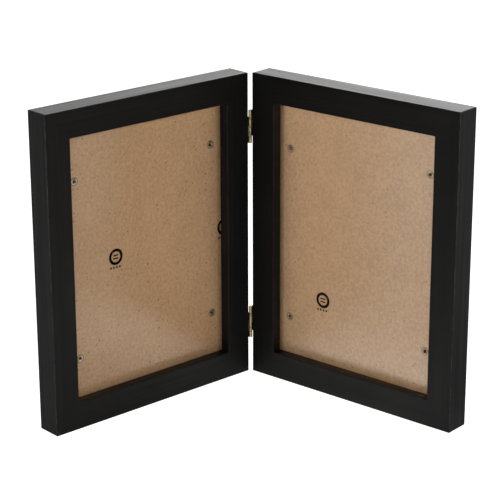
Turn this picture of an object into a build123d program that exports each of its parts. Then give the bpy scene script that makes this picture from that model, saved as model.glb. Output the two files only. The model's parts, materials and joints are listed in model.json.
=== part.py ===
from build123d import *
import os

# Hinged double photo frame: two wooden frames joined by two small butt hinges, standing open like
# a book. Millimetres, +Z up, the fold opens towards -Y and the floor is z = 0.

# Glass and backing board, and the room around them in the rabbet
sheet_width = 152.4
sheet_height = 203.2
sheet_side_play = 0.8
sheet_top_play = 2.8
glass_thickness = 2.0
glass_arris = 0.2
print_room = 0.3
board_thickness = 2.5
board_arris = 0.3

# Wooden moulding
moulding_width = 20.0
moulding_depth = 19.5
lip_depth = 8.0
rabbet_width = 7.0
front_arris_radius = 0.4
back_arris_radius = 0.6
corner_radius = 0.7

# V-nails across the mitres
nail_apex_inset = 5.5
nail_arm = 6.5
nail_sheet = 0.5
nail_height = 10.0
nail_sink = 0.3

# Tubular rivets, measured in from the board's edges
rivet_side_inset = 14.95
rivet_end_inset = 36.6
rivet_column_drop = 1.7
rivet_shank_radius = 1.6
rivet_bore_radius = 1.15
rivet_mouth_round = 0.4
rivet_clinch_radius = 2.5
rivet_clinch_height = 0.45
rivet_clinch_sunk = 0.3
rivet_rim_round = 0.2
rivet_head_radius = 3.0
rivet_head_height = 0.9
rivet_head_round = 0.6
rivet_board_clearance = 0.02

# Turn buttons
button_sheet = 1.0
button_edge_round = 0.3
button_hub_radius = 5.0
button_tip_radius = 3.0
button_grip = 2.0
button_play = 0.1
button_bore_clearance = 0.06
button_rib_width = 2.4
button_rib_height = 0.4
button_rib_end_gap = 1.5
button_tab_back = 7.0
button_tab_width = 6.0
button_tab_height = 3.0
groove_side_clearance = 0.4
groove_end_clearance = 0.4

# Hinges
hinge_end_inset = 40.0
pin_radius = 0.55
pin_stand_off = 0.8
pin_overhang = 0.2
pin_end_chamfer = 0.15
pin_tight_clearance = 0.01
pin_running_clearance = 0.04
leaf_sheet = 0.7
leaf_reach = 10.5
leaf_corner_radius = 1.0
end_knuckle_height = 5.4
middle_knuckle_height = 7.2
knuckle_gap = 0.2
middle_notch_clearance = 0.05
end_notch_clearance = 0.8

# Hinge screws
screw_head_radius = 1.75
screw_shank_radius = 1.05
screw_length = 9.5
screw_point_length = 2.0
screw_tip_radius = 0.2
screw_sunk = 0.05
screw_fit = 0.01
screw_end_inset = 4.2
screw_back_inset = 4.2
screw_recess_length = 1.9
screw_recess_width = 0.45
screw_recess_depth = 0.35

# Angle between each frame and the plane that halves the fold
half_fold = 49.0

# Worked out from the sizes above
frame_width = sheet_width + 2 * sheet_side_play + 2 * (moulding_width - rabbet_width)
frame_height = sheet_height + sheet_top_play + 2 * (moulding_width - rabbet_width)
knuckle_radius = pin_radius + leaf_sheet
hinge_height = 2 * end_knuckle_height + 2 * middle_knuckle_height
hinge_bottoms = {
    "upper": frame_height - hinge_end_inset - hinge_height / 2,
    "lower": hinge_end_inset - hinge_height / 2,
}

# Each frame is made lying open flat: x runs outwards from the pin axis, y runs from front to back
frame_start = knuckle_radius
frame_end = frame_start + frame_width
front_face = pin_stand_off
back_face = front_face + moulding_depth
glass_front = front_face + lip_depth
board_front = glass_front + glass_thickness + print_room
board_back = board_front + board_thickness
button_front = board_back + button_play
button_back = button_front + button_sheet
rivet_head_front = button_back + button_play
sheet_start = frame_start + moulding_width - rabbet_width
sheet_bottom = moulding_width - rabbet_width

# The sheets lie against the hinge stile, so the outer buttons cross all of the side play
button_reach = rivet_side_inset + 2 * sheet_side_play + button_grip
groove_depth = 2 * sheet_side_play + button_grip + groove_end_clearance
groove_front = button_front - groove_side_clearance
groove_width = button_sheet + 2 * groove_side_clearance


def nearest_corner(sketch, across, along):
    """The sketch's corner nearest to a point."""
    return sketch.vertices().sort_by_distance((across, along, 0))[0]


def moulding_section():
    """Section across a rail: x from the outer edge to the sight edge, y from front to back."""
    wall = moulding_width - rabbet_width
    low_left = (Align.MIN, Align.MIN)
    section = Rectangle(moulding_width, moulding_depth, align=low_left)
    section -= Pos(wall, lip_depth) * Rectangle(rabbet_width, moulding_depth, align=low_left)
    groove = Rectangle(groove_depth, groove_width, align=low_left)
    section -= Pos(wall - groove_depth, groove_front - front_face) * groove
    section = fillet(nearest_corner(section, 0, 0), front_arris_radius)
    section = fillet(nearest_corner(section, moulding_width, 0), front_arris_radius)
    return fillet(nearest_corner(section, 0, moulding_depth), back_arris_radius)


def frame_outline():
    """Block of the whole frame, with its four outer corners eased."""
    face = RectangleRounded(frame_width, frame_height, corner_radius)
    middle = (frame_start + frame_width / 2, front_face, frame_height / 2)
    return extrude(Plane(middle, x_dir=(1, 0, 0), z_dir=(0, 1, 0)) * face, moulding_depth)


def mitred_rail(corner, run, inward, length):
    """Length of moulding that starts at an outer corner, with a mitre at both ends."""
    moulding = extrude(Plane(corner, x_dir=inward, z_dir=run) * moulding_section(), length)
    outline = Polygon(
        (0, 0),
        (length, 0),
        (length - moulding_width, moulding_width),
        (moulding_width, moulding_width),
        align=None,
    )
    mitres = extrude(Plane(corner, x_dir=run, z_dir=(0, 1, 0)) * outline, moulding_depth)
    return moulding & mitres & frame_outline()


def rails():
    """The four rails of a frame, each starting where the one before it ends."""
    right = (1, 0, 0)
    left = (-1, 0, 0)
    up = (0, 0, 1)
    down = (0, 0, -1)
    low_hinge = (frame_start, front_face, 0)
    high_hinge = (frame_start, front_face, frame_height)
    low_outer = (frame_end, front_face, 0)
    high_outer = (frame_end, front_face, frame_height)
    return {
        "bottom_rail": mitred_rail(low_outer, left, up, frame_width),
        "hinge_stile": mitred_rail(low_hinge, up, right, frame_height),
        "top_rail": mitred_rail(high_hinge, right, down, frame_width),
        "outer_stile": mitred_rail(high_outer, down, left, frame_height),
    }


def v_nails():
    """One V of bent steel strip across each mitre, driven in from the back."""
    nails = []
    for corner_x, inward_x in ((frame_start, 1), (frame_end, -1)):
        for corner_z, inward_z in ((0, 1), (frame_height, -1)):
            arm_length = nail_arm + nail_sheet / 2
            arm_middle = nail_arm / 2 - nail_sheet / 4
            nail = Pos(inward_x * arm_middle, 0, 0) * Box(arm_length, nail_height, nail_sheet)
            nail += Pos(0, 0, inward_z * arm_middle) * Box(nail_sheet, nail_height, arm_length)
            apex_x = corner_x + inward_x * nail_apex_inset
            apex_z = corner_z + inward_z * nail_apex_inset
            middle_y = back_face - nail_sink - nail_height / 2
            nails.append(Pos(apex_x, middle_y, apex_z) * nail)
    return nails


def sheet(thickness, front, arris):
    """Flat sheet that stands on the bottom rabbet, against the hinge stile, with eased edges."""
    corner = (Align.MIN, Align.MIN, Align.MIN)
    block = Box(sheet_width, thickness, sheet_height, align=corner)
    return Pos(sheet_start, front, sheet_bottom) * chamfer(block.edges(), arris)


def rivet_places(lower_column):
    """Name and x, z of each rivet. One column of rivets sits a little lower than the other."""
    columns = {
        "hinge": sheet_start + rivet_side_inset,
        "outer": sheet_start + sheet_width - rivet_side_inset,
    }
    rows = {
        "lower": sheet_bottom + rivet_end_inset,
        "upper": sheet_bottom + sheet_height - rivet_end_inset,
    }
    places = {}
    for column, x in columns.items():
        shift = -rivet_column_drop if column == lower_column else rivet_column_drop
        for row, z in rows.items():
            places[f"{row}_{column}"] = (x, z + shift)
    return places


def rivet():
    """Tubular rivet about the y axis, from its clinched front end to the solid head behind the button."""
    clinch_front = board_front + rivet_clinch_sunk - rivet_clinch_height
    clinch_back = board_front + rivet_clinch_sunk
    head_back = rivet_head_front + rivet_head_height
    half_section = Polygon(
        (0, rivet_head_front),
        (rivet_bore_radius, rivet_head_front),
        (rivet_bore_radius, clinch_front),
        (rivet_clinch_radius, clinch_front),
        (rivet_clinch_radius, clinch_back),
        (rivet_shank_radius, clinch_back),
        (rivet_shank_radius, rivet_head_front),
        (rivet_head_radius, rivet_head_front),
        (rivet_head_radius, head_back),
        (0, head_back),
        align=None,
    )
    for across, along, rounding in (
        (rivet_bore_radius, clinch_front, rivet_mouth_round),
        (rivet_clinch_radius, clinch_front, rivet_rim_round),
        (rivet_head_radius, head_back, rivet_head_round),
    ):
        half_section = fillet(nearest_corner(half_section, across, along), rounding)
    return revolve(half_section, Axis.Y)


def along_depth(radius, front, back):
    """Plain cylinder about the y axis."""
    length = back - front
    return Pos(0, front + length / 2, 0) * Rot(90, 0, 0) * Cylinder(radius, length)


def backing_board(places):
    """Hardboard with a hole and a shallow dimple in front for each rivet."""
    board = sheet(board_thickness, board_front, board_arris)
    hole = along_depth(rivet_shank_radius + rivet_board_clearance, board_front, board_back)
    dimple_radius = rivet_clinch_radius + rivet_board_clearance
    dimple = along_depth(dimple_radius, board_front, board_front + rivet_clinch_sunk)
    for x, z in places.values():
        board -= Pos(x, 0, z) * (hole + dimple)
    return board


def eased_back(shape):
    """The shape with the edges of its back face rounded, as a press leaves them."""
    return fillet(shape.faces().sort_by(Axis.Y)[-1].edges(), button_edge_round)


def turn_button():
    """Pressed steel button about the y axis, its tip towards +x and its thumb tab behind the hub."""
    flat = Plane((0, button_front, 0), x_dir=(1, 0, 0), z_dir=(0, 1, 0))
    tip = Pos(button_reach - button_tip_radius, 0) * Circle(button_tip_radius)
    outline = make_hull(Circle(button_hub_radius).edges() + tip.edges())
    tail = Rectangle(button_tab_back, button_tab_width, align=(Align.MAX, Align.CENTER))
    button = eased_back(extrude(flat * (outline + tail), button_sheet))
    from_edge = (Align.MIN, Align.MIN, Align.CENTER)
    tab = Box(button_sheet, button_tab_height, button_tab_width, align=from_edge)
    button += Pos(-button_tab_back, button_front, 0) * eased_back(tab)
    rib_start = rivet_head_radius + button_rib_end_gap
    rib_end = rivet_side_inset - button_rib_end_gap
    rib = Pos((rib_start + rib_end) / 2, 0) * SlotOverall(rib_end - rib_start, button_rib_width)
    button += eased_back(extrude(flat * rib, button_sheet + button_rib_height))
    bore = along_depth(rivet_shank_radius + button_bore_clearance, button_front, button_back)
    return button - bore


def knuckle_spans(hinge_bottom):
    """Leaf, bottom, top and room in the other leaf's notch of each knuckle, from the lowest up."""
    end = (end_knuckle_height, end_notch_clearance)
    middle = (middle_knuckle_height, middle_notch_clearance)
    spans = []
    bottom = hinge_bottom
    for leaf, (height, room) in zip(("left", "right", "left", "right"), (end, middle, middle, end)):
        spans.append((leaf, bottom, bottom + height, room))
        bottom += height
    return spans


def screw_heights(hinge_bottom):
    """Heights of the two screws in a leaf."""
    return (hinge_bottom + screw_end_inset, hinge_bottom + hinge_height - screw_end_inset)


def hinge_screw(clearance):
    """Countersunk wood screw, or with a clearance the hole for it, along x from its head."""
    head = screw_head_radius + clearance
    shank = screw_shank_radius + clearance
    taper = screw_head_radius - screw_shank_radius
    half_section = Polygon(
        (0, 0),
        (0, head),
        (taper, shank),
        (screw_length - screw_point_length, shank),
        (screw_length + clearance, screw_tip_radius),
        (screw_length + clearance, 0),
        align=None,
    )
    return revolve(half_section, Axis.X)


def screw_places():
    """Where the screw heads of one frame's two leaves lie."""
    head = knuckle_radius - leaf_sheet + screw_sunk
    depth = leaf_reach - screw_back_inset
    places = []
    for hinge_bottom in hinge_bottoms.values():
        for height in screw_heights(hinge_bottom):
            places.append(Pos(head, depth, height))
    return places


def hinge_screws():
    """The screws of one frame's two leaves, with a cross recess in each head."""
    recess = Box(2 * screw_recess_depth, screw_recess_length, screw_recess_width)
    recess += Box(2 * screw_recess_depth, screw_recess_width, screw_recess_length)
    screw = hinge_screw(0) - recess
    return [place * screw for place in screw_places()]


def screw_holes():
    """Holes for the screws, open at the head end by as much as the heads are sunk."""
    mouth = Rot(0, 90, 0) * Cylinder(screw_head_radius + screw_fit, 2 * screw_sunk)
    hole = hinge_screw(screw_fit) + mouth
    return [place * hole for place in screw_places()]


def hinge_leaf(name, hinge_bottom):
    """One stamped leaf: a plate against the stile's edge, rolled round the pin at its own knuckles."""
    plate = Box(leaf_sheet, leaf_reach, hinge_height, align=(Align.MAX, Align.MIN, Align.MIN))
    back_edges = plate.edges().filter_by(Axis.X).group_by(Axis.Y)[-1]
    leaf = Pos(knuckle_radius, 0, hinge_bottom) * fillet(back_edges, leaf_corner_radius)
    clearance = pin_tight_clearance if name == "left" else pin_running_clearance
    standing = (Align.CENTER, Align.CENTER, Align.MIN)
    for owner, bottom, top, room in knuckle_spans(hinge_bottom):
        if owner == name:
            height = top - bottom - knuckle_gap
            knuckle = Cylinder(knuckle_radius, height, align=standing)
            leaf += Pos(0, 0, bottom + knuckle_gap / 2) * knuckle
        else:
            height = top - bottom + knuckle_gap
            notch_depth = knuckle_radius + room
            notch = Box(2 * notch_depth, 2 * notch_depth, height, align=standing)
            leaf -= Pos(0, 0, bottom - knuckle_gap / 2) * notch
    bore = Cylinder(pin_radius + clearance, hinge_height, align=standing)
    leaf -= Pos(0, 0, hinge_bottom) * bore
    for hole in screw_holes():
        leaf -= hole
    return leaf


def hinge_pin(hinge_bottom):
    """Plain wire pin through all four knuckles."""
    length = hinge_height + 2 * pin_overhang
    pin = Cylinder(pin_radius, length, align=(Align.CENTER, Align.CENTER, Align.MIN))
    pin = chamfer(pin.edges().filter_by(GeomType.CIRCLE), pin_end_chamfer)
    return Pos(0, 0, hinge_bottom - pin_overhang) * pin


def swing(shape, side):
    """Turn a piece of the frame laid flat to its place at rest, mirrored for the left frame."""
    if side == "left":
        return Rot(0, 0, 90 - half_fold) * mirror(shape, Plane.YZ)
    return Rot(0, 0, half_fold - 90) * shape


def frame_pieces(side):
    """All pieces of one frame, lying flat. The lower column of rivets is the left one on both boards."""
    places = rivet_places("outer" if side == "left" else "hinge")
    nails = v_nails()
    pieces = rails()
    for name, rail in pieces.items():
        pockets = nails + screw_holes() if name == "hinge_stile" else nails
        for pocket in pockets:
            rail -= pocket
        pieces[name] = rail
    pieces["corner_v_nails"] = Compound(children=nails)
    pieces["glass"] = sheet(glass_thickness, glass_front, glass_arris)
    pieces["backing_board"] = backing_board(places)
    pieces["rivets"] = Compound(children=[Pos(x, 0, z) * rivet() for x, z in places.values()])
    pieces["hinge_screws"] = Compound(children=hinge_screws())
    for place, (x, z) in places.items():
        turn = 180 if place.endswith("hinge") else 0
        pieces[f"turn_button_{place}"] = Pos(x, 0, z) * Rot(0, turn, 0) * turn_button()
    return pieces


def assembly():
    """Every piece at rest, with the pin axis on the z axis."""
    pieces = {}
    for side in ("left", "right"):
        for name, shape in frame_pieces(side).items():
            pieces[f"{side}_{name}"] = swing(shape, side)
        for place, hinge_bottom in hinge_bottoms.items():
            pieces[f"{place}_hinge_{side}_leaf"] = swing(hinge_leaf(side, hinge_bottom), side)
    for place, hinge_bottom in hinge_bottoms.items():
        pieces[f"{place}_hinge_pin"] = hinge_pin(hinge_bottom)
    return pieces


pieces = assembly()
boxes = [shape.bounding_box() for shape in pieces.values()]
pin_y = -(min(box.min.Y for box in boxes) + max(box.max.Y for box in boxes)) / 2
os.makedirs("parts", exist_ok=True)
for node, shape in pieces.items():
    export_step(Pos(0, pin_y, 0) * shape, f"parts/{node}.step")
print(f"pin axis at y = {pin_y:.4f}, frames {frame_width:.2f} x {frame_height:.2f}")
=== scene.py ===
import json
import math

import bpy
from mathutils import Matrix, Vector

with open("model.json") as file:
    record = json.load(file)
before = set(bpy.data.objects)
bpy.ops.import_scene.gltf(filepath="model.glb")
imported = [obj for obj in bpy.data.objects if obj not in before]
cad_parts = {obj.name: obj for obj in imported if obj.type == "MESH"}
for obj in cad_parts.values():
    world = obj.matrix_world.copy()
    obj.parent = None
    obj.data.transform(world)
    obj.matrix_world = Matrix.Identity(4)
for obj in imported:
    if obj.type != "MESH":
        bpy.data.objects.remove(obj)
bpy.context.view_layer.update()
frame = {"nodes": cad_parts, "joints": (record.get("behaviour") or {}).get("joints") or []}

# Rails and stiles of the two frames.
# Square moulding planed from a light wood, mitred at the corners and glued, then sprayed with satin
# black paint that lets the grain show as fine streaks and is rubbed thin along the arrises. The colour
# is lighter on the arrises, most at the outer ends: partly rubbed wear, partly a painted highlight.
SIDES = ("left", "right")
BACK_OF = {
    side: Vector(joint["axis"])
    for side in SIDES
    for joint in frame["joints"]
    if joint["child"] == f"{side}_turn_button_upper_outer"
}
RUNS = {"rail": ("top_rail", "bottom_rail"), "stile": ("outer_stile", "hinge_stile")}
NOISE_CORE = (0.35, 0.65)
NOISE_SPAN = (0.3, 0.7)
PAINT_DARK = (0.0019, 0.0019, 0.0018, 1)
PAINT_LIGHT = (0.0035, 0.0035, 0.0033, 1)
# Lighter colour of the arrises: rubbed wear together with a painted highlight.
PAINT_RUBBED_AND_HIGHLIGHT = (0.06, 0.059, 0.054, 1)
PAINT_CLOUDS = 38.0
PAINT_SPECULAR = 0.25
PAINT_ROUGHNESS = (0.46, 0.66)
PAINT_BUMP = 0.3
PAINT_RELIEF = 0.00006
GRAIN_ALONG = 7.0
GRAIN_ACROSS = 560.0
GRAIN_SPAN = (0.25, 0.75)
SPRAY_SCALE = 900.0
SPRAY_SHARE = 0.35
SCUFF_SCALE = 260.0
SCUFF_SPAN = (0.34, 0.62)
SCUFF_LEAST = 0.15
OUTER_HIGHLIGHT_REACH = (0.0014, 0.0007)
OUTER_HIGHLIGHT_LEAST = 0.35
ARRIS_TURNS = (0.99, 0.75)
ARRIS_SMOOTHER = 0.05
SIGHT_EDGE_HEIGHT = (0.1, 0.098)
SIGHT_EDGE_TURNS = (0.9, 0.98)
SIGHT_EDGE_SMOOTHER = 0.13


def new_material(name):
    """Empty node material with one Principled shader on its output."""
    material = bpy.data.materials.new(name)
    material.use_nodes = True
    tree = material.node_tree
    tree.nodes.clear()
    output = tree.nodes.new("ShaderNodeOutputMaterial")
    shader = tree.nodes.new("ShaderNodeBsdfPrincipled")
    tree.links.new(shader.outputs["BSDF"], output.inputs["Surface"])
    return material, tree, shader


def node(tree, kind, inputs=None, **settings):
    """New shader node. Inputs are sockets to link or plain values, by a socket's name or place."""
    made = tree.nodes.new(kind)
    for key, value in settings.items():
        setattr(made, key, value)
    for key, value in (inputs or {}).items():
        if isinstance(value, bpy.types.NodeSocket):
            tree.links.new(value, made.inputs[key])
        else:
            made.inputs[key].default_value = value
    return made


def arithmetic(tree, operation, first, second=0.0, third=0.0):
    """Result of one arithmetic step."""
    inputs = {0: first, 1: second, 2: third}
    return node(tree, "ShaderNodeMath", inputs, operation=operation).outputs[0]


def blend(tree, factor, first, second):
    """Colour between two colours."""
    made = node(tree, "ShaderNodeMix", {0: factor, 6: first, 7: second}, data_type="RGBA")
    return made.outputs[2]


def remap(tree, value, low, high, to_low=0.0, to_high=1.0):
    """Value moved from one range to another, held at the ends."""
    inputs = {"Value": value, "From Min": low, "From Max": high, "To Min": to_low, "To Max": to_high}
    return node(tree, "ShaderNodeMapRange", inputs, clamp=True).outputs[0]


def noise(tree, place, scale, detail=3.0):
    """Soft random cloud, mostly within NOISE_SPAN."""
    inputs = {"Vector": place, "Scale": scale, "Detail": detail}
    return node(tree, "ShaderNodeTexNoise", inputs).outputs[0]


def stretched(tree, place, scale):
    """Position with its axes drawn out or pressed together."""
    return node(tree, "ShaderNodeMapping", {"Vector": place, "Scale": scale}).outputs[0]


def separated(tree, vector):
    """The x, y and z of a position or direction."""
    return node(tree, "ShaderNodeSeparateXYZ", {0: vector}).outputs


def turn_to_frame(side):
    """Angle that turns the part until a frame's back faces +Y."""
    return math.atan2(BACK_OF[side].x, BACK_OF[side].y)


def square_to_frame(tree, source, side):
    """Position or direction turned so that x runs along the frame, y to its back and z up."""
    inputs = {"Vector": source, "Rotation": (0, 0, turn_to_frame(side))}
    return node(tree, "ShaderNodeMapping", inputs).outputs[0]


def frame_place(tree, side):
    """Position in metres, square to one of the frames."""
    return square_to_frame(tree, node(tree, "ShaderNodeTexCoord").outputs["Object"], side)


def frame_normal(tree, side):
    """Direction that a surface faces, square to one of the frames, as x, y and z."""
    normal = node(tree, "ShaderNodeTexCoord").outputs["Normal"]
    return separated(tree, square_to_frame(tree, normal, side))


def frame_extents(name, side):
    """Lowest and highest x, y and z of a piece, square to its frame."""
    turn = Matrix.Rotation(turn_to_frame(side), 3, "Z")
    points = [turn @ vertex.co for vertex in frame["nodes"][name].data.vertices]
    return [min(axis) for axis in zip(*points)], [max(axis) for axis in zip(*points)]


def roughen(tree, shader, height, strength, distance):
    """Bump from a height pattern."""
    inputs = {"Height": height, "Strength": strength, "Distance": distance}
    tree.links.new(node(tree, "ShaderNodeBump", inputs).outputs[0], shader.inputs["Normal"])


def arris_mask(tree, side):
    """0 on the flat faces, up to 1 along the rounded arrises."""
    sizes = [arithmetic(tree, "ABSOLUTE", part) for part in frame_normal(tree, side)]
    widest = arithmetic(tree, "MAXIMUM", sizes[0], arithmetic(tree, "MAXIMUM", sizes[1], sizes[2]))
    return remap(tree, widest, *ARRIS_TURNS)


def sight_edge_mask(tree, side, z):
    """1 on the faces of the rails that look into the window, 0 elsewhere."""
    lowest, highest = frame_extents(f"{side}_outer_stile", side)
    from_middle = arithmetic(tree, "SUBTRACT", z, (lowest[2] + highest[2]) / 2)
    within = remap(tree, arithmetic(tree, "ABSOLUTE", from_middle), *SIGHT_EDGE_HEIGHT)
    upright = arithmetic(tree, "ABSOLUTE", frame_normal(tree, side)[2])
    return arithmetic(tree, "MULTIPLY", within, remap(tree, upright, *SIGHT_EDGE_TURNS))


def black_paint(side, run):
    """Satin black paint with the grain of a rail (along x) or a stile (along z)."""
    material, tree, shader = new_material(f"{side}_{run}_black_paint")
    place = frame_place(tree, side)
    grain_scale = [GRAIN_ACROSS] * 3
    grain_scale[0 if run == "rail" else 2] = GRAIN_ALONG
    grain = noise(tree, stretched(tree, place, grain_scale), 1.0, detail=5.0)
    cloud = noise(tree, place, PAINT_CLOUDS)
    scuff = noise(tree, place, SCUFF_SCALE, detail=4.0)
    spray = noise(tree, place, SPRAY_SCALE, detail=2.0)
    arris = arris_mask(tree, side)
    lowest, highest = frame_extents(f"{side}_outer_stile", side)
    outer_end = lowest[0] if side == "left" else highest[0]
    x, _, z = separated(tree, place)
    # Lighter along the arrises, most at the outer end face: rubbed wear and a painted highlight of the
    # arris.
    from_end = arithmetic(tree, "ABSOLUTE", arithmetic(tree, "SUBTRACT", x, outer_end))
    outer_highlight = remap(tree, from_end, *OUTER_HIGHLIGHT_REACH, OUTER_HIGHLIGHT_LEAST, 1.0)
    scuffed = remap(tree, scuff, *SCUFF_SPAN, SCUFF_LEAST, 1.0)
    rubbed_and_highlight = arithmetic(tree, "MULTIPLY", arris, arithmetic(tree, "MULTIPLY", outer_highlight, scuffed))
    body = blend(tree, remap(tree, cloud, *NOISE_CORE), PAINT_DARK, PAINT_LIGHT)
    tree.links.new(blend(tree, rubbed_and_highlight, body, PAINT_RUBBED_AND_HIGHLIGHT), shader.inputs["Base Color"])
    matt = remap(tree, grain, *GRAIN_SPAN, *PAINT_ROUGHNESS)
    matt = arithmetic(tree, "MULTIPLY_ADD", arris, -ARRIS_SMOOTHER, matt)
    sight_edge = sight_edge_mask(tree, side, z)
    matt = arithmetic(tree, "MULTIPLY_ADD", sight_edge, -SIGHT_EDGE_SMOOTHER, matt)
    tree.links.new(matt, shader.inputs["Roughness"])
    shader.inputs["Specular IOR Level"].default_value = PAINT_SPECULAR
    height = arithmetic(tree, "MULTIPLY_ADD", spray, SPRAY_SHARE, grain)
    roughen(tree, shader, height, PAINT_BUMP, PAINT_RELIEF)
    return material


def dress(name, material):
    """Gives a piece one material all over."""
    for slot in frame["nodes"][name].material_slots:
        slot.material = material


for side in SIDES:
    for run, pieces in RUNS.items():
        paint = black_paint(side, run)
        for piece in pieces:
            dress(f"{side}_{piece}", paint)

# V-nails across the mitres.
# Bent strip of bright steel, driven into the back of each mitre and set just below the surface, where
# filler and paint hide it.
NAIL_DULL = (0.14, 0.14, 0.14, 1)
NAIL_BRIGHT = (0.4, 0.4, 0.39, 1)
NAIL_PATCHES = 700.0
NAIL_ROUGHNESS = (0.55, 0.3)
NAIL_BUMP = 0.2
NAIL_RELIEF = 0.00005


def nail_steel(side):
    """Bright strip steel, dulled in patches."""
    material, tree, shader = new_material(f"{side}_nail_steel")
    patches = noise(tree, frame_place(tree, side), NAIL_PATCHES)
    colour = blend(tree, remap(tree, patches, *NOISE_CORE), NAIL_DULL, NAIL_BRIGHT)
    tree.links.new(colour, shader.inputs["Base Color"])
    tree.links.new(remap(tree, patches, *NOISE_SPAN, *NAIL_ROUGHNESS), shader.inputs["Roughness"])
    shader.inputs["Metallic"].default_value = 1.0
    roughen(tree, shader, patches, NAIL_BUMP, NAIL_RELIEF)
    return material


for side in SIDES:
    dress(f"{side}_corner_v_nails", nail_steel(side))

# Panes of picture glass.
# Clear 2 mm glass, cut to the size of the print and laid in the rabbet against the lip. Its finish cuts
# reflections, so that next to nothing is mirrored in it.
GLASS_TINT = (0.985, 0.995, 0.99, 1)
GLASS_MIRROR = (0.0, 0.0, 0.0, 1)
GLASS_IOR = 1.08
GLASS_ROUGHNESS = (0.02, 0.06)
WIPE_SCALE = (14, 14, 5)
WIPE_SPAN = (0.4, 0.7)


def picture_glass(side):
    """Clear glass with faint wiping marks, which lets the light of the lamps through."""
    material, tree, shader = new_material(f"{side}_picture_glass")
    wipes = noise(tree, stretched(tree, frame_place(tree, side), WIPE_SCALE), 1.0, detail=4.0)
    tree.links.new(remap(tree, wipes, *WIPE_SPAN, *GLASS_ROUGHNESS), shader.inputs["Roughness"])
    shader.inputs["Base Color"].default_value = GLASS_TINT
    shader.inputs["Specular Tint"].default_value = GLASS_MIRROR
    shader.inputs["IOR"].default_value = GLASS_IOR
    shader.inputs["Transmission Weight"].default_value = 1.0
    clear = node(tree, "ShaderNodeBsdfTransparent", {"Color": GLASS_TINT})
    rays = node(tree, "ShaderNodeLightPath").outputs
    lamp_rays = arithmetic(tree, "MAXIMUM", rays["Is Shadow Ray"], rays["Is Diffuse Ray"])
    mix = node(tree, "ShaderNodeMixShader", {0: lamp_rays, 1: shader.outputs[0], 2: clear.outputs[0]})
    tree.links.new(mix.outputs[0], tree.nodes["Material Output"].inputs["Surface"])
    return material


for side in SIDES:
    dress(f"{side}_glass", picture_glass(side))

# Backing boards.
# Thin tan hardboard pressed from wood fibre: smooth and a little glossy in front with dark specks,
# marked by the wire mesh of the press at the back. Each bears small round stamps in dark ink.
BOARD_PALE = (0.478, 0.286, 0.155, 1)
BOARD_DEEP = (0.372, 0.221, 0.118, 1)
BOARD_SPECK = (0.10, 0.052, 0.024, 1)
BOARD_FLECK = (0.52, 0.34, 0.19, 1)
BOARD_BEHIND = (0.16, 0.095, 0.05, 1)
# Painted shade round the rivets on the board's face.
BOARD_RIVET_SHADE = (0.05, 0.03, 0.016, 1)
WHITE = (1, 1, 1, 1)
NOISE_MIDDLE = 0.5
BOARD_GRAIN = {"left": 0.15, "right": 0.09}
BOARD_GLOSS = {"left": 0.23, "right": 0.65}
BOARD_ROUGHNESS = {"left": (0.165, 0.19), "right": (0.3, 0.33)}
BOARD_IOR = 2.0
BOARD_BUMP = 0.2
BOARD_RELIEF = 0.0001
CLOUD_SCALE = 60.0
FIBRE_SCALE = 420.0
FIBRE_SHARE = 0.75
FIBRE_RELIEF = 0.06
# How many to the metre, the share of them that shows, their size and their colour.
FLECKS = (
    (420.0, 0.06, 0.0006, BOARD_FLECK),
    (330.0, 0.08, 0.0006, BOARD_SPECK),
    (110.0, 0.3, 0.0008, BOARD_SPECK),
)
FLECK_STRENGTH = (0.15, 0.9)
FLECK_CORE = 0.4
# Radius, width and softness of the painted shade round each rivet, and how patchy it is.
RIVET_SHADE_RADIUS = 0.0027
RIVET_SHADE_WIDTH = 0.0007
RIVET_SHADE_SOFT = 0.0003
RIVET_SHADE_FIBRE = (0.3, 0.6)
RIVET_SHADE_STRENGTH = (0.45, 0.9)
FACE_TURNS = (0.4, 0.6)
MESH_PITCH = 0.0022
MESH_SHADE = (0.8, 0.45)
MESH_ROUGHER = 0.6
MESH_RELIEF = 2.0
STAMP_INK = (0.003, 0.001, 0.0005, 1)
INK_FIBRE = (0.25, 0.42)
INK_LEAST = 0.8
STAMP_SOFT = 0.0002
STAMP_RING = 0.0050
STAMP_LINE = 0.0022
STAMP_BAR_LENGTH = 0.0046
STAMP_BAR_HEIGHT = 0.0011
STAMP_BARS_APART = 0.0023
STAMP_ROW_DROP = 0.0077
STAMP_ROW_HEIGHT = 0.0015
STAMP_ROW_LENGTH = 0.0104
STAMP_STROKE_PITCH = 0.0026
STAMP_STROKE_SPAN = (-0.5, 0.1)
# Inset from the board's edge at the hinge, and height over its lower edge.
STAMP_PLACES = {"left": ((0.1035, 0.1029), (0.0028, 0.1031)), "right": ((0.0460, 0.0549),)}


def inside(tree, value, half, soft):
    """1 where a value lies within half of 0, with a soft edge."""
    return remap(tree, arithmetic(tree, "ABSOLUTE", value), half + soft, half - soft)


def waves(tree, value, pitch):
    """Sine that repeats at a pitch."""
    return arithmetic(tree, "SINE", arithmetic(tree, "MULTIPLY", value, 2 * math.pi / pitch))


def away_from(tree, x, z, at_x, at_z):
    """Distances across, up and straight from a point on a frame's face."""
    across = arithmetic(tree, "SUBTRACT", x, at_x)
    up = arithmetic(tree, "SUBTRACT", z, at_z)
    squares = arithmetic(tree, "MULTIPLY_ADD", across, across, arithmetic(tree, "MULTIPLY", up, up))
    return across, up, arithmetic(tree, "SQRT", squares)


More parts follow.
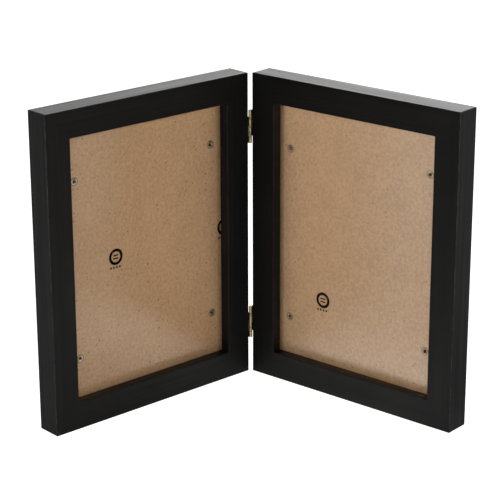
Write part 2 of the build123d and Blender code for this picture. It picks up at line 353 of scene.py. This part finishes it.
def stamp(tree, x, z, at_x, at_z):
    """Ink of one round stamp: a ring with two bars in it, over a row of short strokes."""
    across, up, radius = away_from(tree, x, z, at_x, at_z)
    ring = inside(tree, arithmetic(tree, "SUBTRACT", radius, STAMP_RING), STAMP_LINE / 2, STAMP_SOFT)
    from_bars = arithmetic(tree, "SUBTRACT", arithmetic(tree, "ABSOLUTE", up), STAMP_BARS_APART / 2)
    bars = inside(tree, from_bars, STAMP_BAR_HEIGHT / 2, STAMP_SOFT)
    bars = arithmetic(tree, "MULTIPLY", bars, inside(tree, across, STAMP_BAR_LENGTH / 2, STAMP_SOFT))
    from_row = arithmetic(tree, "ADD", up, STAMP_ROW_DROP)
    row = inside(tree, from_row, STAMP_ROW_HEIGHT / 2, STAMP_SOFT)
    row = arithmetic(tree, "MULTIPLY", row, inside(tree, across, STAMP_ROW_LENGTH / 2, STAMP_SOFT))
    swing = remap(tree, waves(tree, across, STAMP_STROKE_PITCH), *STAMP_STROKE_SPAN)
    strokes = arithmetic(tree, "MULTIPLY", row, swing)
    return arithmetic(tree, "MAXIMUM", ring, arithmetic(tree, "MAXIMUM", bars, strokes))


def flecks(tree, face, density, share, size):
    """Scattered spots: how many to the metre, the share of them that shows, and their size."""
    inputs = {"Vector": face, "Scale": density}
    spots = node(tree, "ShaderNodeTexVoronoi", inputs, voronoi_dimensions="2D").outputs
    chance = node(tree, "ShaderNodeSeparateColor", {0: spots["Color"]}).outputs[0]
    strength = remap(tree, chance, 1.0 - share, 1.0, *FLECK_STRENGTH)
    shown = arithmetic(tree, "GREATER_THAN", chance, 1.0 - share)
    reach = size * density
    spot = remap(tree, spots["Distance"], reach, FLECK_CORE * reach)
    return arithmetic(tree, "MULTIPLY", arithmetic(tree, "MULTIPLY", strength, shown), spot)


def rivet_shade_rings(tree, side, x, z, fibre):
    """Dark rings round the clinched rivets on the face of a board: painted shade at the edge of each
    rim.
    """
    rings = []
    for joint in frame["joints"]:
        if joint["child"].startswith(f"{side}_turn_button"):
            rivet = Matrix.Rotation(turn_to_frame(side), 3, "Z") @ Vector(joint["pos_m"])
            radius = away_from(tree, x, z, rivet.x, rivet.z)[2]
            from_ring = arithmetic(tree, "SUBTRACT", radius, RIVET_SHADE_RADIUS)
            ring = inside(tree, from_ring, RIVET_SHADE_WIDTH / 2, RIVET_SHADE_SOFT)
            patchy = remap(tree, fibre, *RIVET_SHADE_FIBRE, *RIVET_SHADE_STRENGTH)
            rings.append(arithmetic(tree, "MULTIPLY", ring, patchy))
    return rings


def stamps(tree, side, x, z, fibre):
    """Ink of all the stamps on a board, a little uneven over the fibres."""
    lowest, highest = frame_extents(f"{side}_backing_board", side)
    hinge_edge, outwards = (highest[0], -1) if side == "left" else (lowest[0], 1)
    ink = 0.0
    for inset, height in STAMP_PLACES[side]:
        mark = stamp(tree, x, z, hinge_edge + outwards * inset, lowest[2] + height)
        ink = arithmetic(tree, "MAXIMUM", ink, mark)
    return arithmetic(tree, "MULTIPLY", ink, remap(tree, fibre, *INK_FIBRE, INK_LEAST, 1.0))


def hardboard(side):
    """Pressed wood fibre with specks, stamps in front and a mesh pattern behind."""
    material, tree, shader = new_material(f"{side}_hardboard")
    place = frame_place(tree, side)
    x, _, z = separated(tree, place)
    cloud = noise(tree, place, CLOUD_SCALE, detail=4.0)
    fibre = noise(tree, place, FIBRE_SCALE, detail=5.0)
    clouded = arithmetic(tree, "MULTIPLY", cloud, 1.0 - FIBRE_SHARE)
    tone = arithmetic(tree, "MULTIPLY_ADD", fibre, FIBRE_SHARE, clouded)
    grain = remap(tree, tone, NOISE_MIDDLE - BOARD_GRAIN[side], NOISE_MIDDLE + BOARD_GRAIN[side])
    colour = blend(tree, grain, BOARD_DEEP, BOARD_PALE)
    face = node(tree, "ShaderNodeCombineXYZ", {0: x, 1: z}).outputs[0]
    for density, share, size, tint in FLECKS:
        colour = blend(tree, flecks(tree, face, density, share, size), colour, tint)
    # Painted shade: a dark ring round each rivet, patchy over the fibres.
    for ring in rivet_shade_rings(tree, side, x, z, fibre):
        colour = blend(tree, ring, colour, BOARD_RIVET_SHADE)
    facing = frame_normal(tree, side)[1]
    in_front = remap(tree, facing, *(-turn for turn in FACE_TURNS))
    behind = remap(tree, facing, *FACE_TURNS)
    inked = arithmetic(tree, "MULTIPLY", stamps(tree, side, x, z, fibre), in_front)
    colour = blend(tree, inked, colour, STAMP_INK)
    tree.links.new(blend(tree, inked, WHITE, STAMP_INK), shader.inputs["Specular Tint"])
    mesh = arithmetic(tree, "MULTIPLY", waves(tree, x, MESH_PITCH), waves(tree, z, MESH_PITCH))
    shade = arithmetic(tree, "MULTIPLY", behind, remap(tree, mesh, -1.0, 1.0, *MESH_SHADE))
    tree.links.new(blend(tree, shade, colour, BOARD_BEHIND), shader.inputs["Base Color"])
    smooth = remap(tree, fibre, *NOISE_SPAN, *BOARD_ROUGHNESS[side])
    matt = arithmetic(tree, "MULTIPLY_ADD", behind, MESH_ROUGHER, smooth)
    tree.links.new(matt, shader.inputs["Roughness"])
    shader.inputs["Specular IOR Level"].default_value = BOARD_GLOSS[side]
    shader.inputs["IOR"].default_value = BOARD_IOR
    wires = arithmetic(tree, "MULTIPLY", arithmetic(tree, "MULTIPLY", mesh, behind), MESH_RELIEF)
    height = arithmetic(tree, "MULTIPLY_ADD", fibre, FIBRE_RELIEF, wires)
    roughen(tree, shader, height, BOARD_BUMP, BOARD_RELIEF)
    return material


for side in SIDES:
    dress(f"{side}_backing_board", hardboard(side))

# Rivets and turn buttons.
# Zinc plated steel: tubular rivets curled over in front of the board carry stamped buttons that turn
# on their shanks and slip into the groove of the stiles.
BUTTON_PLACES = ("upper_outer", "upper_hinge", "lower_outer", "lower_hinge")
ZINC_DULL = (0.26, 0.255, 0.25, 1)
ZINC_BRIGHT = (0.5, 0.49, 0.47, 1)
ZINC_DRAWN = (300, 300, 2600)
ZINC_SPANGLE = 420.0
ZINC_DRAWN_SHARE = 0.5
ZINC_ROUGHNESS = (0.28, 0.5)
ZINC_BUMP = 0.15
ZINC_RELIEF = 0.00004
# The rivets' colours are tinted warm towards the board's tan: a painted reflection of the board.
RIVET_DULL = (0.25, 0.20, 0.15, 1)
RIVET_BRIGHT = (0.66, 0.57, 0.45, 1)
RIVET_TARNISH = (0.36, 0.26, 0.17, 1)
# Painted shade for the outer slopes of the rims.
RIVET_RIM_SHADE = (0.10, 0.08, 0.06, 1)
# Painted shade of the hole down the bores, brown as a painted reflection of the board.
RIVET_BORE_SHADE = (0.22, 0.14, 0.08, 1)
RIVET_TARNISH_SCALE = 330.0
RIVET_TARNISH_SPAN = (0.42, 0.54)
RIVET_RIM_TURNS = (0.75, 0.35)
RIVET_RIM_DEPTH = (0.0001, 0.0006)
RIVET_HEAD_DEPTH = (0.0007, 0.0009)


def zinc_steel(name, side, dull, bright):
    """Zinc plated steel with fine drawn scratches."""
    material, tree, shader = new_material(name)
    place = frame_place(tree, side)
    drawn = noise(tree, stretched(tree, place, ZINC_DRAWN), 1.0, detail=4.0)
    spangle = noise(tree, place, ZINC_SPANGLE, detail=2.0)
    spangled = arithmetic(tree, "MULTIPLY", spangle, 1.0 - ZINC_DRAWN_SHARE)
    tone = arithmetic(tree, "MULTIPLY_ADD", drawn, ZINC_DRAWN_SHARE, spangled)
    colour = blend(tree, remap(tree, tone, *NOISE_CORE), dull, bright)
    tree.links.new(colour, shader.inputs["Base Color"])
    tree.links.new(remap(tree, drawn, *NOISE_SPAN, *ZINC_ROUGHNESS), shader.inputs["Roughness"])
    shader.inputs["Metallic"].default_value = 1.0
    roughen(tree, shader, drawn, ZINC_BUMP, ZINC_RELIEF)
    return material


def rivet_steel(side):
    """Warm plating, a painted reflection of the board, tarnished, with painted shade at rims and bores.
    """
    material = zinc_steel(f"{side}_rivet_steel", side, RIVET_DULL, RIVET_BRIGHT)
    tree = material.node_tree
    shader = tree.nodes["Principled BSDF"]
    place = frame_place(tree, side)
    lowest, highest = frame_extents(f"{side}_rivets", side)
    depth = separated(tree, place)[1]
    past_rim = remap(tree, depth, *(lowest[1] + below for below in RIVET_RIM_DEPTH))
    before_head = remap(tree, depth, *(highest[1] - before for before in RIVET_HEAD_DEPTH))
    down_bore = arithmetic(tree, "MULTIPLY", past_rim, before_head)
    facing = arithmetic(tree, "ABSOLUTE", frame_normal(tree, side)[1])
    # The plating's warm tint is a painted reflection of the tan board.
    plating = shader.inputs["Base Color"].links[0].from_socket
    patches = noise(tree, place, RIVET_TARNISH_SCALE, detail=2.0)
    colour = blend(tree, remap(tree, patches, *RIVET_TARNISH_SPAN), plating, RIVET_TARNISH)
    # Painted shade on the outer slopes of each rim, where it turns away from the board's face.
    colour = blend(tree, remap(tree, facing, *RIVET_RIM_TURNS), colour, RIVET_RIM_SHADE)
    # Down the bore: painted shade of the hole, brown as a painted reflection of the board.
    tree.links.new(blend(tree, down_bore, colour, RIVET_BORE_SHADE), shader.inputs["Base Color"])
    tree.links.new(arithmetic(tree, "SUBTRACT", 1.0, down_bore), shader.inputs["Metallic"])
    return material


for side in SIDES:
    dress(f"{side}_rivets", rivet_steel(side))
    zinc = zinc_steel(f"{side}_zinc_steel", side, ZINC_DULL, ZINC_BRIGHT)
    for place in BUTTON_PLACES:
        dress(f"{side}_turn_button_{place}", zinc)

# Hinges.
# Small stamped butt hinges in brass plated steel: two leaves rolled round a wire pin, each lying on
# the edge of its hinge stile. The brass is darkened beside the barrels and on its +x side: painted
# shade.
BRASS_DULL = (0.33, 0.25, 0.105, 1)
BRASS_BRIGHT = (0.68, 0.57, 0.28, 1)
# Painted shade for the side of the brass turned to +x.
BRASS_SHADE = (0.06, 0.042, 0.015, 1)
# Painted shade for the brass just beside the barrels.
BRASS_NOTCH_SHADE = (0.022, 0.014, 0.006, 1)
BRASS_TARNISH = 420.0
BRASS_ROUGHNESS = (0.45, 0.28)
BRASS_BUMP = 0.12
BRASS_RELIEF = 0.00005
BRASS_SHADE_TARNISH = 0.5
BRASS_SHADE_TURNS = (0.45, 1.0)
BRASS_SHADE_MOST = 0.9
BARREL_RADIUS = 0.00125
NOTCH_SHADE_STARTS = (0.00003, 0.0001)
NOTCH_SHADE_ENDS = (0.0018, 0.0006)
PIN = next(Vector(joint["pos_m"]) for joint in frame["joints"] if joint["name"] == "fold")


def hinge_brass():
    """Brass plating, a little tarnished, with painted shade on the side turned to +x and beside the
    barrel.
    """
    material, tree, shader = new_material("hinge_brass")
    place = node(tree, "ShaderNodeTexCoord").outputs["Object"]
    tarnish = noise(tree, place, BRASS_TARNISH, detail=4.0)
    plating = blend(tree, remap(tree, tarnish, *NOISE_CORE), BRASS_DULL, BRASS_BRIGHT)
    facing = separated(tree, node(tree, "ShaderNodeTexCoord").outputs["Normal"])[0]
    # Painted shade on the side of the brass turned to +x, broken up by the tarnish.
    turned_right = arithmetic(tree, "MULTIPLY_ADD", tarnish, BRASS_SHADE_TARNISH, facing)
    shaded_side = remap(tree, turned_right, *BRASS_SHADE_TURNS, 0.0, BRASS_SHADE_MOST)
    colour = blend(tree, shaded_side, plating, BRASS_SHADE)
    inputs = {0: stretched(tree, place, (1, 1, 0)), 1: (PIN.x, PIN.y, 0)}
    from_pin = node(tree, "ShaderNodeVectorMath", inputs, operation="DISTANCE").outputs["Value"]
    # Painted shade on the brass just outside the barrel, where the leaves meet the knuckles.
    past_barrel = remap(tree, from_pin, *(BARREL_RADIUS + start for start in NOTCH_SHADE_STARTS))
    near_barrel = remap(tree, from_pin, *(BARREL_RADIUS + end for end in NOTCH_SHADE_ENDS))
    notch_shade = arithmetic(tree, "MULTIPLY", past_barrel, near_barrel)
    tree.links.new(blend(tree, notch_shade, colour, BRASS_NOTCH_SHADE), shader.inputs["Base Color"])
    tree.links.new(remap(tree, tarnish, *NOISE_SPAN, *BRASS_ROUGHNESS), shader.inputs["Roughness"])
    shader.inputs["Metallic"].default_value = 1.0
    roughen(tree, shader, tarnish, BRASS_BUMP, BRASS_RELIEF)
    return material


brass = hinge_brass()
for place in ("upper", "lower"):
    for piece in ("left_leaf", "right_leaf", "pin"):
        dress(f"{place}_hinge_{piece}", brass)

# Hinge screws.
# Small countersunk wood screws with a cross recess, two in each leaf. Their heads lie flush in the leaf
# and are brighter than it, and darker down the recess.
SCREW_DULL = (0.36, 0.28, 0.12, 1)
SCREW_BRIGHT = (0.68, 0.57, 0.29, 1)
SCREW_RECESS_DARK = (0.03, 0.022, 0.01, 1)
SCREW_RECESS_DEPTH = (0.00005, 0.0002)
SCREW_WEAR = 900.0
SCREW_ROUGHNESS = (0.42, 0.28)
SCREW_BUMP = 0.12
SCREW_RELIEF = 0.00005


def screw_brass(side):
    """Bright brass plating, turned, with a dark recess."""
    material, tree, shader = new_material(f"{side}_screw_brass")
    place = frame_place(tree, side)
    lowest, highest = frame_extents(f"{side}_hinge_screws", side)
    head = highest[0] if side == "left" else lowest[0]
    x = separated(tree, place)[0]
    sunk = arithmetic(tree, "ABSOLUTE", arithmetic(tree, "SUBTRACT", x, head))
    wear = noise(tree, place, SCREW_WEAR, detail=4.0)
    plating = blend(tree, remap(tree, wear, *NOISE_CORE), SCREW_DULL, SCREW_BRIGHT)
    # Darker down the recess, below the face of the head.
    colour = blend(tree, remap(tree, sunk, *SCREW_RECESS_DEPTH), plating, SCREW_RECESS_DARK)
    tree.links.new(colour, shader.inputs["Base Color"])
    tree.links.new(remap(tree, wear, *NOISE_SPAN, *SCREW_ROUGHNESS), shader.inputs["Roughness"])
    shader.inputs["Metallic"].default_value = 1.0
    roughen(tree, shader, wear, SCREW_BUMP, SCREW_RELIEF)
    return material


for side in SIDES:
    dress(f"{side}_hinge_screws", screw_brass(side))

# Studio.
# A pale seamless floor that glows in patches like a light table, white surroundings that are brightest
# behind the frames, soft lamps that light but aren't mirrored, and the camera of the photograph.
FLOOR_REACH = 12.0
FLOOR_PALE = (0.47, 0.47, 0.47, 1)
FLOOR_GREY = (0.45, 0.45, 0.45, 1)
FLOOR_UNEVEN = 5.0
FLOOR_ROUGHNESS = 0.9
FLOOR_SPECULAR = 0.1
FLOOR_GLOW = 0.31
# Place, reach and strength; a patch with a negative strength is a dark one.
FLOOR_PATCHES = {
    "between": (Vector((0.07, -0.06, 0)), 0.09, 0.8),
    "between_middle": (Vector((0.0, 0.0, 0)), 0.06, 0.5),
    "in_front": (Vector((0.05, -0.25, 0)), 0.16, 1.4),
    "beside_right": (Vector((0.28, -0.02, 0)), 0.16, -0.28),
    "beside_left": (Vector((-0.28, -0.02, 0)), 0.16, -0.15),
    "right_foot": (Vector((0.21, -0.01, 0)), 0.09, -0.18),
    "right_front": (Vector((0.20, -0.14, 0)), 0.13, -0.2),
}
SKY_LEVEL = 0.02
# Direction, tightness and strength.
GLOWS = (
    (Vector((0.18, 0.905, 0.36)).normalized(), 25.0, 9.4),
    (Vector((0.75, 0.60, 0.30)).normalized(), 10.0, 1.9),
)
# Place, size in metres and power in watts.
LAMPS = {
    "front_lamp": (Vector((0.0, -1.3, 0.5)), 0.6, 3.8),
    "low_left_lamp": (Vector((-0.75, -0.55, 0.45)), 0.35, 4.75),
    "right_lamp": (Vector((1.2, -0.75, 0.65)), 0.6, 7.9),
}
LAMPS_AIM = Vector((0.0, 0.0, 0.1))
CAMERA_PLACE = Vector((-0.01991, -1.23592, 0.53613))
CAMERA_YAW = math.radians(0.8702)
CAMERA_PITCH = math.radians(18.8389)
CAMERA_ROLL = math.radians(0.1478)
CAMERA_LENS = 131.58
SENSOR_WIDTH = 36.0


def floor_paint():
    """Matt pale sheet, very slightly uneven, lit from below in patches and white to the camera."""
    material, tree, shader = new_material("studio_floor")
    place = node(tree, "ShaderNodeTexCoord").outputs["Object"]
    uneven = noise(tree, place, FLOOR_UNEVEN)
    tree.links.new(blend(tree, uneven, FLOOR_GREY, FLOOR_PALE), shader.inputs["Base Color"])
    shader.inputs["Roughness"].default_value = FLOOR_ROUGHNESS
    shader.inputs["Specular IOR Level"].default_value = FLOOR_SPECULAR
    shader.inputs["Emission Color"].default_value = WHITE
    glow = FLOOR_GLOW
    for spot, reach, strength in FLOOR_PATCHES.values():
        inputs = {0: place, 1: spot}
        away = node(tree, "ShaderNodeVectorMath", inputs, operation="DISTANCE").outputs["Value"]
        glow = arithmetic(tree, "MULTIPLY_ADD", remap(tree, away, reach, 0.0), strength, glow)
    seen = node(tree, "ShaderNodeLightPath").outputs["Is Camera Ray"]
    tree.links.new(arithmetic(tree, "MAXIMUM", glow, seen), shader.inputs["Emission Strength"])
    return material


floor_mesh = bpy.data.meshes.new("studio_floor")
corners = [(x * FLOOR_REACH, y * FLOOR_REACH, 0) for x, y in ((-1, -1), (1, -1), (1, 1), (-1, 1))]
floor_mesh.from_pydata(corners, [], [(0, 1, 2, 3)])
floor_mesh.materials.append(floor_paint())
floor = bpy.data.objects.new("studio_floor", floor_mesh)
bpy.context.scene.collection.objects.link(floor)

world = bpy.data.worlds.new("studio")
world.use_nodes = True
sky = world.node_tree
ray = node(sky, "ShaderNodeTexCoord").outputs["Generated"]
level = SKY_LEVEL
for direction, tightness, strength in GLOWS:
    inputs = {0: ray, 1: direction}
    towards = node(sky, "ShaderNodeVectorMath", inputs, operation="DOT_PRODUCT").outputs["Value"]
    glow = arithmetic(sky, "POWER", arithmetic(sky, "MAXIMUM", towards, 0.0), tightness)
    level = arithmetic(sky, "MULTIPLY_ADD", glow, strength, level)
seen = node(sky, "ShaderNodeLightPath").outputs["Is Camera Ray"]
background = sky.nodes["Background"]
background.inputs["Color"].default_value = WHITE
sky.links.new(arithmetic(sky, "MAXIMUM", level, seen), background.inputs["Strength"])
bpy.context.scene.world = world

for name, (lamp_place, size, power) in LAMPS.items():
    lamp_data = bpy.data.lights.new(name, "AREA")
    lamp_data.shape = "DISK"
    lamp_data.size = size
    lamp_data.energy = power
    lamp = bpy.data.objects.new(name, lamp_data)
    lamp.visible_glossy = False
    lamp.location = lamp_place
    lamp.rotation_euler = (LAMPS_AIM - lamp_place).to_track_quat("-Z", "Y").to_euler()
    bpy.context.scene.collection.objects.link(lamp)

camera_data = bpy.data.cameras.new("camera")
camera_data.lens = CAMERA_LENS
camera_data.sensor_width = SENSOR_WIDTH
camera = bpy.data.objects.new("camera", camera_data)
turned = (
    Matrix.Rotation(-CAMERA_YAW, 3, "Z")
    @ Matrix.Rotation(math.pi / 2 - CAMERA_PITCH, 3, "X")
    @ Matrix.Rotation(-CAMERA_ROLL, 3, "Z")
)
camera.location = CAMERA_PLACE
camera.rotation_euler = turned.to_euler()
bpy.context.scene.collection.objects.link(camera)
bpy.context.scene.camera = camera
bpy.context.scene.view_settings.view_transform = "Standard"
